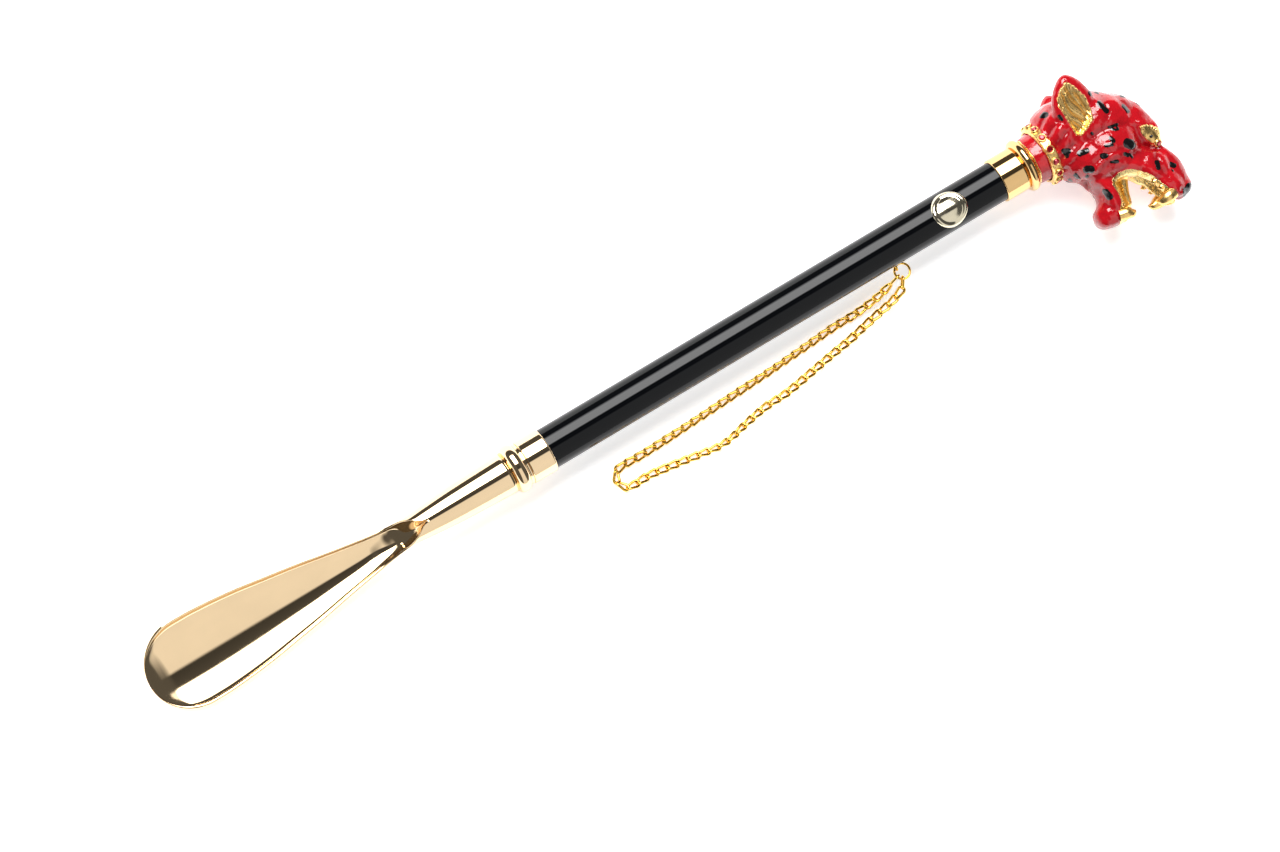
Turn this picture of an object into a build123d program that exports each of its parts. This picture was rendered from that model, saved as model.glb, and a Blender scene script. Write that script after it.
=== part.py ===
# Long shoehorn: a brass blade and a cast animal head on a lacquered wooden shaft, with a wrist chain.
# It lies on a table: +X runs from the blade to the head, +Z is up, and the snout points to -Y.
# The origin is under the middle of the object's box, without the chain. Millimetres.
import os
from math import cos, pi, radians, sin, tan

from build123d import *

# Lengths along the shaft, from the blade's tip to the top of the head
blade_length = 131.0  # tip to the closed end of the trough
socket_length = 50.0  # closed end of the trough to the bead ring
lower_ring_width = 7.7
lower_ferrule_length = 11.6
shaft_showing = 238.4
upper_ferrule_length = 11.8
upper_ring_width = 5.0
head_height = 61.0

# Blade
blade_half_width = 20.2
blade_tip_reach = 21.3  # length of the half-elliptical tip
tip_ease = 0.4  # the tip's ellipse is this much wider than the blade on each side
blade_wall = 1.5
trough_depth = 8.5
throat_radius = 6.2
socket_radius = 9.7

# Shaft, ferrules and rings
shaft_diameter = 19.0
ferrule_diameter = 21.0
ferrule_floor = 3.6
rim_ease = 0.35
lower_ring_diameter = 23.3
upper_ring_diameter = 25.4
groove_depth = 1.1
groove_width = 0.6
stud_diameter = 6.0
stud_bite = 24.0  # how far a stud goes into the wood past the ferrule's floor
stud_reach = 15.0  # how far it goes into the blade's socket or the head

# Head
snout_reach = 49.7
ear_reach = 25.1
head_half_width = 20.5
neck_radius = 12.3
collar_radius = 13.9
collar_height = 8.1
collar_width = 4.6
collar_crystals = 14
crystal_diameter = 3.0
crystal_seat = 0.9
crystal_proud = 0.4

# Hanging ring and wrist chain
eye_station = 179.9  # along the shaft from the lower ferrule
eye_angle = 32.0  # below the horizontal
eye_wire = 1.0
eye_diameter = 4.0
ring_wire = 1.1
ring_diameter = 8.2
ring_turn = 30.0  # how far the ring lies round from straight out
link_wire = 1.0
link_length = 6.8
link_width = 4.2
link_slack = 0.4  # from the link's bow centre to the ring's wire
link_droop = 30.0
chain_diameter = 4.2

# Badge
badge_station = 211.0
badge_length = 17.0
badge_width = 17.0
badge_thickness = 0.5

# Stations in the row frame
overall = (
    blade_length + socket_length + lower_ring_width + lower_ferrule_length
    + shaft_showing + upper_ferrule_length + upper_ring_width + head_height
)
x_tip = -overall / 2
x_throat = x_tip + blade_length
x_lower_ring = x_throat + socket_length
x_lower_ferrule = x_lower_ring + lower_ring_width
x_shaft = x_lower_ferrule + lower_ferrule_length
x_upper_ferrule = x_shaft + shaft_showing
x_upper_ring = x_upper_ferrule + upper_ferrule_length
x_head = x_upper_ring + upper_ring_width
axis_y = (snout_reach - ear_reach) / 2
axis_z = head_half_width
shaft_radius = shaft_diameter / 2
stud_radius = stud_diameter / 2

axis_plane = Plane(origin=(0, axis_y, axis_z), x_dir=(1, 0, 0), z_dir=(0, -1, 0))
shaft_axis = Axis((0, axis_y, axis_z), (1, 0, 0))


def across(x):
    """A plane square to the shaft at station x: its x is +Y and its y is +Z, from the shaft's axis."""
    return Plane(origin=(x, axis_y, axis_z), x_dir=(0, 1, 0), z_dir=(1, 0, 0))


def write(part, label):
    """Label a finished piece and write its STEP file."""
    part.label = label
    export_step(part, f"parts/{label}.step")


os.makedirs("parts", exist_ok=True)

# Blade and its socket: one casting. A U-shaped bar is lofted along the blade, its top is cut down
# to the rim, the trough is scooped out of it, and the tip is rounded in plan.
# Each section: distance from the tip, half width, depth of the back below the shaft's axis, and
# height of its arc, which ends a little under the rim.
back_depth = head_half_width
arc_height = trough_depth - 0.8
sections = [
    (0, blade_half_width, back_depth - 0.8, arc_height),
    (blade_tip_reach + 5, blade_half_width, back_depth, arc_height),
    (49.5, blade_half_width * 0.91, back_depth - 1.4, arc_height),
    (80, blade_half_width * 0.68, back_depth - 5.2, arc_height - 0.2),
    (109, blade_half_width * 0.43, back_depth - 9.5, arc_height - 1.0),
    (blade_length - 10, throat_radius + 0.5, throat_radius + 2.6, throat_radius - 0.4),
    (blade_length - 1, throat_radius - 0.2, throat_radius + 0.1, throat_radius - 1.0),
]
scoop_end = [
    (blade_length - 14, throat_radius - 0.4, 8.2, throat_radius - 0.5),
    (blade_length - 6, throat_radius - 1.0, 5.8, throat_radius - 1.1),
    (blade_length, throat_radius - 1.9, 2.2, throat_radius - 2.0),
    (blade_length + 5, throat_radius - 3.0, -2.8, throat_radius - 3.1),
    (blade_length + 9, throat_radius - 4.2, -8.4, throat_radius - 4.3),
]
rim = [
    (-2, trough_depth - back_depth + 0.8),
    (30, trough_depth - back_depth),
    (80, trough_depth - back_depth + 5.0),
    (109, -3.6),
    (blade_length - 10, -1.0),
    (blade_length - 3.5, 2.2),
    (blade_length + 0.5, 4.9),
    (blade_length + 4.5, 6.7),
    (blade_length + 9, 7.9),
]
above = socket_radius + 3


def trough_section(distance, half_width, low, arc_height):
    """A U-shaped face square to the shaft: an arc below and straight sides above."""
    with BuildSketch(across(x_tip + distance)) as section:
        with BuildLine():
            turn = low + arc_height
            ThreePointArc((-half_width, turn), (0, low), (half_width, turn))
            Polyline(
                (half_width, turn), (half_width, above), (-half_width, above), (-half_width, turn)
            )
        make_face()
    return section.sketch


with BuildPart() as blade_scoop:
    for distance, half_width, back, arc_height in sections[:5]:
        inside = half_width - blade_wall
        add(trough_section(distance, inside, blade_wall - back, arc_height - blade_wall))
    loft()
    distance, half_width, back, arc_height = sections[4]
    add(trough_section(
        distance, half_width - blade_wall, blade_wall - back, arc_height - blade_wall
    ))
    for distance, half_width, back, arc_height in scoop_end:
        add(trough_section(distance, half_width, -back, arc_height))
    loft()

with BuildPart() as shoehorn_blade:
    for distance, half_width, back, arc_height in sections[:5]:
        add(trough_section(distance, half_width, -back, arc_height))
    loft()
    for distance, half_width, back, arc_height in sections[4:]:
        add(trough_section(distance, half_width, -back, arc_height))
    loft()
    # the socket, turned round
    with BuildSketch(axis_plane):
        with BuildLine():
            Spline(
                (x_throat - 6, throat_radius + 0.1),
                (x_throat + 8, throat_radius + 1.1),
                (x_throat + 22, socket_radius - 1.1),
                (x_throat + 37, socket_radius - 0.4),
                (x_lower_ring, socket_radius),
            )
            Polyline(
                (x_lower_ring, socket_radius),
                (x_lower_ring, 0),
                (x_throat - 6, 0),
                (x_throat - 6, throat_radius + 0.1),
            )
        make_face()
    revolve(axis=shaft_axis)
    # the rim, seen from the side
    with BuildSketch(axis_plane):
        with BuildLine():
            Spline(*[(x_tip + distance, height) for distance, height in rim])
            Polyline(
                (x_tip + rim[-1][0], rim[-1][1]),
                (x_tip + rim[-1][0], above + 1),
                (x_tip - 2, above + 1),
                (x_tip - 2, rim[0][1]),
            )
        make_face()
    extrude(amount=blade_half_width * 2, both=True, mode=Mode.SUBTRACT)
    add(blade_scoop.part, mode=Mode.SUBTRACT)
    # the tip, rounded in plan
    with BuildSketch(Plane.XY):
        with Locations((x_tip + blade_tip_reach, axis_y)):
            Ellipse(blade_tip_reach, blade_half_width + tip_ease)
        with Locations((x_tip + blade_tip_reach + overall / 4, axis_y)):
            Rectangle(overall / 2, blade_half_width * 2 + 2)
    extrude(amount=back_depth + above + 2, both=True, mode=Mode.INTERSECT)
    # blind hole for the stud, from the ring's end
    with BuildSketch(across(x_lower_ring)):
        Circle(stud_radius)
    extrude(amount=-stud_reach, mode=Mode.SUBTRACT)
write(shoehorn_blade.part, "shoehorn_blade")

# Bead rings, each with a fine groove on its ferrule side, bored for the stud
with BuildPart() as lower_bead_ring:
    with BuildSketch(axis_plane):
        with BuildLine():
            edge = ferrule_diameter / 2 - groove_depth
            Polyline(
                (x_lower_ferrule, stud_radius), (x_lower_ring, stud_radius),
                (x_lower_ring, edge),
            )
            ThreePointArc(
                (x_lower_ring, edge),
                (x_lower_ring + 3.4, lower_ring_diameter / 2),
                (x_lower_ring + 6.4, edge),
            )
            Polyline(
                (x_lower_ring + 6.4, edge), (x_lower_ferrule, edge),
                (x_lower_ferrule, stud_radius),
            )
        make_face()
    revolve(axis=shaft_axis)
write(lower_bead_ring.part, "lower_bead_ring")

with BuildPart() as upper_bead_ring:
    with BuildSketch(axis_plane):
        with BuildLine():
            edge = ferrule_diameter / 2 - groove_depth
            start = x_upper_ring + groove_width
            Polyline(
                (x_head, neck_radius - 1.3), (x_head, stud_radius), (x_upper_ring, stud_radius),
                (x_upper_ring, edge), (start, edge),
            )
            ThreePointArc(
                (start, edge),
                ((start + x_head) / 2, upper_ring_diameter / 2),
                (x_head, neck_radius - 1.3),
            )
        make_face()
    revolve(axis=shaft_axis)
write(upper_bead_ring.part, "upper_bead_ring")


def ferrule(floor_end, mouth_end):
    """A turned cup over the shaft's end, with a hole for the stud in its floor."""
    out = 1 if mouth_end > floor_end else -1
    seat = floor_end + out * ferrule_floor
    with BuildPart() as cup:
        with BuildSketch(axis_plane):
            with BuildLine():
                Polyline(
                    (floor_end, stud_radius), (floor_end, ferrule_diameter / 2),
                    (mouth_end, ferrule_diameter / 2), (mouth_end, shaft_radius),
                    (seat, shaft_radius), (seat, stud_radius), close=True,
                )
            make_face()
        revolve(axis=shaft_axis)
        rims = cup.edges().filter_by(GeomType.CIRCLE)
        fillet(rims.filter_by(lambda rim_edge: rim_edge.radius > shaft_radius + 0.1), rim_ease)
    return cup.part


write(ferrule(x_lower_ferrule, x_shaft), "lower_ferrule")
write(ferrule(x_upper_ring, x_upper_ferrule), "upper_ferrule")
shaft_start = x_lower_ferrule + ferrule_floor
shaft_end = x_upper_ring - ferrule_floor


def stud(start, end):
    """A steel stud along the shaft's axis, with chamfered ends."""
    with BuildPart() as rod:
        with BuildSketch(across(start)):
            Circle(stud_radius)
        extrude(amount=end - start)
        chamfer(rod.edges().filter_by(GeomType.CIRCLE), 0.5)
    return rod.part


write(stud(x_lower_ring - stud_reach, shaft_start + stud_bite), "blade_stud")
write(stud(shaft_end - stud_bite, x_head + stud_reach), "head_stud")

# Screw eye on the side of the shaft, and the jump ring through it
eye_direction = Vector(0, -cos(radians(eye_angle)), -sin(radians(eye_angle)))
shaft_middle = Vector(x_shaft + eye_station, axis_y, axis_z)
eye_ring_radius = (eye_diameter - eye_wire) / 2
eye_centre = shaft_middle + eye_direction * (shaft_radius + eye_diameter / 2)
shank_radius = 0.6
shank_depth = 6.0
shank_plane = Plane(
    origin=shaft_middle + eye_direction * (shaft_radius - shank_depth),
    x_dir=(1, 0, 0),
    z_dir=eye_direction,
)
eye_square = Vector(1, 0, 0).cross(eye_direction)
with BuildPart() as screw_eye:
    with BuildSketch(Plane(origin=eye_centre, x_dir=(1, 0, 0), z_dir=eye_square)):
        with Locations((0, eye_ring_radius)):
            Circle(eye_wire / 2)
    revolve(axis=Axis(eye_centre, (1, 0, 0)))
    with BuildSketch(shank_plane):
        Circle(shank_radius)
    extrude(amount=shank_depth + eye_wire * 0.6)
write(screw_eye.part, "screw_eye")

# The jump ring hangs level through the eye, and lies a little round from straight out
ring_radius = (ring_diameter - ring_wire) / 2
ring_centre = eye_centre + Vector(sin(radians(ring_turn)), -cos(radians(ring_turn)), 0) * ring_radius
with BuildPart() as jump_ring:
    with BuildSketch(Plane(origin=ring_centre, x_dir=(1, 0, 0), z_dir=(0, -1, 0))):
        with Locations((ring_radius, 0)):
            Circle(ring_wire / 2)
    revolve(axis=Axis(ring_centre, (0, 0, 1)))
write(jump_ring.part, "jump_ring")

# Shaft: turned hardwood, lacquered, drilled at both ends for the studs and at the side for the eye
with BuildPart() as shaft:
    with BuildSketch(across(shaft_start)):
        Circle(shaft_radius)
    extrude(amount=shaft_end - shaft_start)
    with BuildSketch(across(shaft_start)):
        Circle(stud_radius)
    extrude(amount=stud_bite, mode=Mode.SUBTRACT)
    with BuildSketch(across(shaft_end)):
        Circle(stud_radius)
    extrude(amount=-stud_bite, mode=Mode.SUBTRACT)
    with BuildSketch(shank_plane):
        Circle(shank_radius)
    extrude(amount=shank_depth + 1, mode=Mode.SUBTRACT)
write(shaft.part, "shaft")

# Badge: a plain oval plate bent round the top of the shaft
with BuildPart() as shaft_badge:
    with BuildSketch(across(x_shaft + badge_station - badge_length / 2)):
        Circle(shaft_radius + badge_thickness)
        Circle(shaft_radius, mode=Mode.SUBTRACT)
    extrude(amount=badge_length)
    with BuildSketch(Plane(origin=(x_shaft + badge_station, axis_y, axis_z), x_dir=(1, 0, 0))):
        Ellipse(badge_length / 2, badge_width / 2)
    extrude(amount=shaft_diameter, mode=Mode.INTERSECT)
write(shaft_badge.part, "shaft_badge")


def head_plane(forward):
    """Square to the snout's direction: its x is up the head (+X) and its y is the head's right."""
    origin = (x_head, axis_y - forward, axis_z)
    return Plane(origin=origin, x_dir=(1, 0, 0), z_dir=(0, -1, 0))


def rounded_form(slices, sideways=0):
    """A closed form lofted through ellipses: how far forward, top, bottom and half width of each."""
    with BuildPart() as form:
        for forward, top, bottom, half_width in slices:
            with BuildSketch(head_plane(forward)):
                with Locations(((top + bottom) / 2, sideways)):
                    Ellipse((top - bottom) / 2, half_width)
        loft()
    return form.part


skull = [
    (-13.5, 40, 24, 10),
    (-8, 48, 12, 15),
    (2, 56.8, 5, 18.6),
    (11, 59.4, 9, 19.8),
    (19, 60.6, 20, 18.5),
    (25, 58.6, 35, 16),
]
muzzle = [
    (17, 57, 38, 15),
    (27, 58.8, 40.5, 14.8),
    (37, head_height, 48, 13),
    (45, 60.4, 50.2, 10.5),
    (snout_reach, 56, 51, 6),
]
jaw = [
    (12, 26, 9.5, 15.5),
    (20, 27.5, 17.6, 14.5),
    (30, 28.6, 20.0, 11.5),
    (36.5, 28.4, 14.4, 10),
    (41, 25.4, 13.4, 8.5),
    (44, 22, 17, 5.5),
]
ear = [
    (3, 34, 27, 2.7),
    (-8, 37, 24.6, 2.6),
    (-18, 37.4, 24.6, 2.2),
    (-ear_reach, 36, 31, 1.4),
]
ear_sideways = head_half_width - 2.7

# Head: one casting, with its mouth open, laid-back ears, a neck and a jewelled collar
crystal_radius = crystal_diameter / 2


def crystal_plane(turn):
    """On the collar, looking out along the stone set this far round from the head's right."""
    out = Vector(0, -sin(radians(turn)), cos(radians(turn)))
    middle = Vector(x_head + collar_height, axis_y, axis_z)
    return Plane(origin=middle + out * collar_radius, x_dir=(1, 0, 0), z_dir=out)


def eye_plane(side):
    """In the front corner of an eye, looking forward and out."""
    out = Vector(0.25, -0.75, 0.6 * side).normalized()
    origin = Vector(x_head + 56.2, axis_y - 21.8, axis_z + side * 10.2)
    return Plane(origin=origin, x_dir=(1, 0, 0), z_dir=out)


def crystal(plane):
    """A round faceted stone on its seat: a straight girdle below and a bevelled crown above."""
    with BuildPart() as stone:
        with BuildSketch(plane.offset(-crystal_seat)):
            Circle(crystal_radius)
        extrude(amount=crystal_seat + crystal_proud)
        crown = stone.faces().filter_by(GeomType.PLANE).sort_by(Axis(plane.origin, plane.z_dir))[-1]
        chamfer(crown.edges(), crystal_proud * 0.9)
    return stone.part


collar_turns = [360 / collar_crystals * place for place in range(collar_crystals)]
seats = [crystal_plane(turn) for turn in collar_turns] + [eye_plane(1), eye_plane(-1)]
with BuildPart() as leopard_head:
    with BuildSketch(axis_plane):
        with BuildLine():
            band_start = x_head + collar_height - collar_width / 2
            band_end = x_head + collar_height + collar_width / 2
            Polyline(
                (x_head + 20, 0), (x_head, 0), (x_head, neck_radius - 1.3),
                (x_head + 4, neck_radius), (band_start, neck_radius),
                (band_start, collar_radius), (band_end, collar_radius),
                (band_end, neck_radius + 0.8), (x_head + 20, neck_radius + 1.6), close=True,
            )
        make_face()
    revolve(axis=shaft_axis)
    for form in (skull, muzzle, jaw):
        add(rounded_form(form))
    for side in (1, -1):
        add(rounded_form(ear, side * ear_sideways))
    for seat in seats:
        with BuildSketch(seat.offset(-crystal_seat)):
            Circle(crystal_radius)
        extrude(amount=crystal_seat + 4, mode=Mode.SUBTRACT)
    with BuildSketch(across(x_head)):
        Circle(stud_radius)
    extrude(amount=stud_reach, mode=Mode.SUBTRACT)
write(leopard_head.part, "leopard_head")
for place, turn in enumerate(collar_turns, start=1):
    write(crystal(crystal_plane(turn)), f"collar_crystal_{place:02d}")
write(crystal(eye_plane(1)), "eye_crystal_right")
write(crystal(eye_plane(-1)), "eye_crystal_left")

# End links: the two links of the wrist chain that hook the jump ring
bow_radius = (link_width - link_wire) / 2
bow_spacing = link_length - link_width
droop = radians(link_droop)


def hooked_link(round_ring):
    """An oval wire link on the ring, round_ring degrees from +X, and the middle of its outer bow."""
    turn = radians(round_ring)
    outward = Vector(cos(turn), sin(turn), 0)
    along = outward * cos(droop) + Vector(0, 0, -sin(droop))
    upright = outward * sin(droop) + Vector(0, 0, cos(droop))
    near_bow = ring_centre + outward * ring_radius + along * link_slack
    plane = Plane(origin=near_bow, x_dir=along, z_dir=along.cross(upright))
    with BuildPart() as link:
        with BuildLine(plane) as route:
            Line((0, bow_radius), (bow_spacing, bow_radius))
            far_tip = (bow_spacing + bow_radius, 0)
            ThreePointArc((bow_spacing, bow_radius), far_tip, (bow_spacing, -bow_radius))
            Line((bow_spacing, -bow_radius), (0, -bow_radius))
            ThreePointArc((0, -bow_radius), (-bow_radius, 0), (0, bow_radius))
        with BuildSketch(Plane(origin=near_bow + upright * bow_radius, x_dir=upright, z_dir=along)):
            Circle(link_wire / 2)
        sweep(path=route.wires()[0])
    return link.part, near_bow + along * (bow_spacing + bow_radius)


for label, round_ring in (("chain_end_link_inner", 198), ("chain_end_link_outer", 243)):
    link, bow = hooked_link(round_ring)
    write(link, label)
    print(label, "starts the chain at", bow - ring_centre, link.is_valid, link.bounding_box())

# Wrist chain: a closed loop of curb links, laid out along the table beside the shaft and folded
# back. Each point is measured from the jump ring's centre, with its height above the table.
chain_points = [
    (-7.2, -2.3, 12.1), (-10.9, -3.6, 9.9), (-15.4, -4.6, 7.2), (-20.6, -5.3, 4.6),
    (-26.8, -5.9, 2.9), (-35.0, -5.7, 2.1), (-45.1, -6.4, 2.1), (-57.2, -7.2, 2.1),
    (-72.4, -8.2, 2.1), (-87.5, -8.7, 2.1), (-102.6, -9.4, 2.1), (-117.8, -10.1, 2.1),
    (-132.9, -10.6, 2.1), (-143.6, -10.8, 2.1), (-150.4, -10.4, 2.1), (-154.6, -10.6, 2.1),
    (-157.4, -13.4, 2.1), (-157.5, -17.4, 2.1), (-154.7, -20.2, 2.1), (-150.7, -20.3, 2.1),
    (-143.6, -20.0, 2.1), (-132.9, -21.6, 2.1), (-120.8, -23.5, 2.1), (-107.2, -25.7, 2.1),
    (-95.1, -22.7, 2.1), (-81.4, -20.3, 2.1), (-72.4, -20.5, 2.1), (-60.2, -18.6, 2.1),
    (-49.6, -16.8, 2.1), (-42.1, -15.6, 2.1), (-34.5, -14.6, 2.1), (-27.6, -13.1, 2.4),
    (-21.6, -11.8, 3.4), (-15.8, -10.6, 5.2), (-11.2, -9.8, 7.4), (-6.7, -8.4, 9.9),
    (-3.4, -6.7, 12.1),
]
route_points = [Vector(ring_centre.X + x, ring_centre.Y + y, z) for x, y, z in chain_points]
runs = [end - start for start, end in zip(route_points, route_points[1:])]
radii = []
for before, after in zip(runs, runs[1:]):
    half_turn = radians(before.get_angle(after)) / 2
    radii.append(0.45 * min(before.length, after.length) / tan(half_turn))
print("chain corner radii", [round(radius, 1) for radius in radii])
print("chain runs", [round(run.length, 1) for run in runs])
with BuildPart() as wrist_chain:
    with BuildLine() as chain_path:
        FilletPolyline(*route_points, radius=radii)
    with BuildSketch(Plane(origin=route_points[0], z_dir=runs[0])):
        Circle(chain_diameter / 2)
    sweep()
write(wrist_chain.part, "wrist_chain")
section = pi * (chain_diameter / 2) ** 2
chain_length = chain_path.wires()[0].length
print("chain length", chain_length, "volume ratio", wrist_chain.part.volume / (section * chain_length))
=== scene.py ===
from math import asin, cos, pi, radians, sin, sqrt

import bmesh
import bpy
import numpy as np
from mathutils import Matrix, Vector, noise
from mathutils.bvhtree import BVHTree


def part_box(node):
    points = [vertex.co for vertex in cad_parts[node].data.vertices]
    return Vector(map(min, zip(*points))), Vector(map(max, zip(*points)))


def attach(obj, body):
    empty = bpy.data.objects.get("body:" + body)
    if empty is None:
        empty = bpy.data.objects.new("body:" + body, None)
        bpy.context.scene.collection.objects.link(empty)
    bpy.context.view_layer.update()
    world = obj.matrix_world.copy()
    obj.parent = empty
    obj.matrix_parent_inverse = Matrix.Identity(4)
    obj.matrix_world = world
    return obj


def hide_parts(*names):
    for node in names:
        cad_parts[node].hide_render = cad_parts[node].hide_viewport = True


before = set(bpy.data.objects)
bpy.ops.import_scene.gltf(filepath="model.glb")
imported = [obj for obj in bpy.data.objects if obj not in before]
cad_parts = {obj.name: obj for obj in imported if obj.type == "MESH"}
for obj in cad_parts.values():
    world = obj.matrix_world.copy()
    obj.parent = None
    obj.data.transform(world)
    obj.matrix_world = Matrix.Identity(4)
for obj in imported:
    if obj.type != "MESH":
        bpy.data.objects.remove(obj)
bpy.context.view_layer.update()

MM = 0.001

# Camera: a long lens above the blade's end, turned so that the shaft climbs to the right.
# The shaft's own line and the lower ferrule's edge place it.
shaft_low, shaft_high = (Vector(corner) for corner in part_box("shaft"))
AXIS_Y = (shaft_low.y + shaft_high.y) / 2
AXIS_Z = (shaft_low.z + shaft_high.z) / 2
VIEW_TILT = radians(12.0)
VIEW_ROLL = radians(30.85)
VIEW_DISTANCE = 2.5
METRES_ACROSS = 0.5624
view_along = Vector((sin(VIEW_TILT), 0, -cos(VIEW_TILT)))
view_level = Vector((cos(VIEW_TILT), 0, sin(VIEW_TILT)))
view_right = view_level * cos(VIEW_ROLL) - Vector((0, 1, 0)) * sin(VIEW_ROLL)
view_up = view_level * sin(VIEW_ROLL) + Vector((0, 1, 0)) * cos(VIEW_ROLL)
VIEW_MIDDLE = 41.7 * MM  # from the shaft's lower end in sight, along the shaft
VIEW_ASIDE = 12.2 * MM
view_target = Vector((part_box("lower_ferrule")[1][0] + VIEW_MIDDLE, AXIS_Y - VIEW_ASIDE, AXIS_Z))
camera_data = bpy.data.cameras.new("camera")
camera = bpy.data.objects.new("camera", camera_data)
bpy.context.scene.collection.objects.link(camera)
turned_basis = Matrix((view_right, view_up, -view_along)).transposed()
camera.matrix_world = Matrix.Translation(view_target - view_along * VIEW_DISTANCE) @ turned_basis.to_4x4()
camera_data.sensor_width = 36
camera_data.lens = 36 * VIEW_DISTANCE / METRES_ACROSS
camera_data.clip_end = 20
bpy.context.scene.camera = camera

# Wrist chain: a closed loop of curb links of gold-plated wire, each bent round two pegs and given
# a twist so that it lies flat. It runs from the jump ring down to the table, along the shaft, and
# back to the ring.
CHAIN_WIDTH = 4.4 * MM
LINK_LENGTH = 7.4 * MM
LINK_WIRE = 1.4 * MM
LINK_PITCH = 5.0 * MM
LINK_TWIST = radians(75)
CLEAR_OF_TABLE = 0.05 * MM
ring_low, ring_high = (Vector(corner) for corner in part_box("jump_ring"))
RING_CENTRE = (ring_low + ring_high) / 2
CHAIN_POINTS = [
    (-7.2, -2.3, 12.1), (-10.9, -3.6, 9.9), (-15.4, -4.6, 7.2), (-20.6, -5.3, 4.6),
    (-26.8, -5.9, 2.9), (-35.0, -5.7, 2.1), (-45.1, -6.4, 2.1), (-57.2, -7.2, 2.1),
    (-72.4, -8.2, 2.1), (-87.5, -8.7, 2.1), (-102.6, -9.4, 2.1), (-117.8, -10.1, 2.1),
    (-132.9, -10.6, 2.1), (-143.6, -10.8, 2.1), (-150.4, -10.4, 2.1), (-154.6, -10.6, 2.1),
    (-157.4, -13.4, 2.1), (-157.5, -17.4, 2.1), (-154.7, -20.2, 2.1), (-150.7, -20.3, 2.1),
    (-143.6, -20.0, 2.1), (-132.9, -21.6, 2.1), (-120.8, -23.5, 2.1), (-107.2, -25.7, 2.1),
    (-95.1, -22.7, 2.1), (-81.4, -20.3, 2.1), (-72.4, -20.5, 2.1), (-60.2, -18.6, 2.1),
    (-49.6, -16.8, 2.1), (-42.1, -15.6, 2.1), (-34.5, -14.6, 2.1), (-27.6, -13.1, 2.4),
    (-21.6, -11.8, 3.4), (-15.8, -10.6, 5.2), (-11.2, -9.8, 7.4), (-6.7, -8.4, 9.9),
    (-3.4, -6.7, 12.1),
]


def linear(hex_colour):
    """A #rrggbb colour as linear RGBA."""
    parts = [int(hex_colour[place:place + 2], 16) / 255 for place in (1, 3, 5)]
    return [part / 12.92 if part < 0.04045 else ((part + 0.055) / 1.055) ** 2.4 for part in parts] + [1]


def fill_sockets(node, inputs):
    """Write values into a node's sockets, and link to them the outputs given in place of values."""
    for name, value in inputs.items():
        if isinstance(value, bpy.types.NodeSocket):
            node.id_data.links.new(value, node.inputs[name])
        else:
            node.inputs[name].default_value = value


def add_node(material, kind, inputs=None, **settings):
    """Add a node, with settings for its properties and inputs for its sockets."""
    node = material.node_tree.nodes.new("ShaderNode" + kind)
    for key, value in settings.items():
        setattr(node, key, value)
    fill_sockets(node, inputs or {})
    return node


def new_material(name):
    """An empty node material and its Principled shader."""
    material = bpy.data.materials.new(name)
    material.use_nodes = True
    return material, material.node_tree.nodes["Principled BSDF"]


def plated(name, colour, roughness, cloud_size, haze=0.05, dents=0.0, dent_size=4 * MM):
    """Polished metal plate: one colour, with cloudy wear in its gloss and, if asked, soft unevenness."""
    material, shader = new_material(name)
    place = add_node(material, "TexCoord").outputs["Object"]
    clouds = add_node(material, "TexNoise", {"Vector": place, "Scale": 1 / cloud_size, "Detail": 4.0})
    gloss = add_node(
        material, "MapRange",
        {"Value": clouds.outputs["Fac"], "From Min": 0.35, "From Max": 0.7,
         "To Min": roughness, "To Max": roughness + haze},
    )
    tint = add_node(
        material, "Mix",
        {"Factor": clouds.outputs["Fac"], "A": linear(colour),
         "B": [value * 0.9 for value in linear(colour)[:3]] + [1]},
        data_type="RGBA",
    )
    fill_sockets(
        shader, {"Metallic": 1, "Base Color": tint.outputs["Result"], "Roughness": gloss.outputs["Result"]}
    )
    if dents:
        swell = add_node(material, "TexNoise", {"Vector": place, "Scale": 1 / dent_size, "Detail": 2.0})
        bump = add_node(material, "Bump", {"Height": swell.outputs["Fac"], "Distance": dents})
        fill_sockets(shader, {"Normal": bump.outputs["Normal"]})
    return material


def meshed(name, bm):
    """Turn a bmesh into a mesh."""
    mesh = bpy.data.meshes.new(name)
    bm.to_mesh(mesh)
    bm.free()
    return mesh


def placed_object(name, data):
    """Put an object into the scene."""
    made = bpy.data.objects.new(name, data)
    bpy.context.scene.collection.objects.link(made)
    return made


def finish_surface(mesh, material):
    """Give a mesh its one material and smooth shading."""
    mesh.materials.clear()
    mesh.materials.append(material)
    for face in mesh.polygons:
        face.use_smooth = True


def piece(name, bm, material, body="shoehorn", replaced=()):
    """Finish a bmesh as a smooth-shaded object, give it its material and fix it to its body."""
    bmesh.ops.remove_doubles(bm, verts=bm.verts, dist=1e-7)
    bmesh.ops.recalc_face_normals(bm, faces=bm.faces)
    made = placed_object(name, meshed(name, bm))
    finish_surface(made.data, material)
    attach(made, body)
    if replaced:
        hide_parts(*replaced)
    return made


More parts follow.
